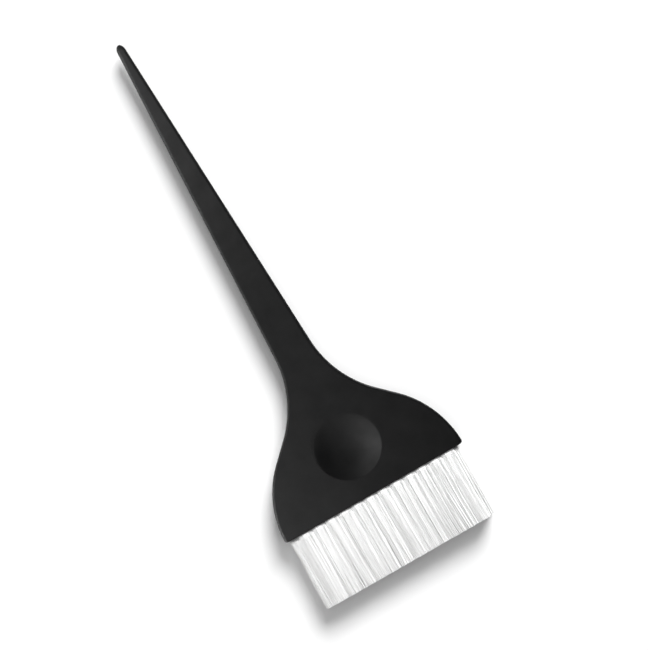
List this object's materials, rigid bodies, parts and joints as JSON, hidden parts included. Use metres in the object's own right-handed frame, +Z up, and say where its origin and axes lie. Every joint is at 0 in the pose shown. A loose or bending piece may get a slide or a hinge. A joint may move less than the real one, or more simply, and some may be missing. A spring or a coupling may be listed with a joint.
{
  "type": "tint brush",
  "caption": "Wide hair tint brush: a slim tapered tail that flares into a fan-shaped head with a round thumb rest, and staggered rows of straight nylon tufts.",
  "frame": {"origin": "under the middle of the whole brush, on the surface that its head lies on", "axes": "+Y along the handle towards the tail's tip, +X across the head, +Z up out of the head's upper face"},
  "size_m": [0.0754, 0.22, 0.012],
  "materials": {
    "handle_plastic": "satin",
    "bristle_nylon": "satin",
    "anchor_metal": "satin"
  },
  "bodies": {
    "root": {"handle": "handle_plastic", "tuft_upper_01": "bristle_nylon", "tuft_upper_02": "bristle_nylon", "tuft_upper_03": "bristle_nylon", "tuft_upper_04": "bristle_nylon", "tuft_upper_05": "bristle_nylon", "tuft_upper_06": "bristle_nylon", "tuft_upper_07": "bristle_nylon", "tuft_upper_08": "bristle_nylon", "tuft_upper_09": "bristle_nylon", "tuft_upper_10": "bristle_nylon", "tuft_upper_11": "bristle_nylon", "tuft_upper_12": "bristle_nylon", "tuft_lower_01": "bristle_nylon", "tuft_lower_02": "bristle_nylon", "tuft_lower_03": "bristle_nylon", "tuft_lower_04": "bristle_nylon", "tuft_lower_05": "bristle_nylon", "tuft_lower_06": "bristle_nylon", "tuft_lower_07": "bristle_nylon", "tuft_lower_08": "bristle_nylon", "tuft_lower_09": "bristle_nylon", "tuft_lower_10": "bristle_nylon", "tuft_lower_11": "bristle_nylon", "tuft_lower_12": "bristle_nylon", "tuft_lower_13": "bristle_nylon", "anchor_upper_01": "anchor_metal", "anchor_upper_02": "anchor_metal", "anchor_upper_03": "anchor_metal", "anchor_upper_04": "anchor_metal", "anchor_upper_05": "anchor_metal", "anchor_upper_06": "anchor_metal", "anchor_upper_07": "anchor_metal", "anchor_upper_08": "anchor_metal", "anchor_upper_09": "anchor_metal", "anchor_upper_10": "anchor_metal", "anchor_upper_11": "anchor_metal", "anchor_upper_12": "anchor_metal", "anchor_lower_01": "anchor_metal", "anchor_lower_02": "anchor_metal", "anchor_lower_03": "anchor_metal", "anchor_lower_04": "anchor_metal", "anchor_lower_05": "anchor_metal", "anchor_lower_06": "anchor_metal", "anchor_lower_07": "anchor_metal", "anchor_lower_08": "anchor_metal", "anchor_lower_09": "anchor_metal", "anchor_lower_10": "anchor_metal", "anchor_lower_11": "anchor_metal", "anchor_lower_12": "anchor_metal", "anchor_lower_13": "anchor_metal"}
  },
  "joints": []
}
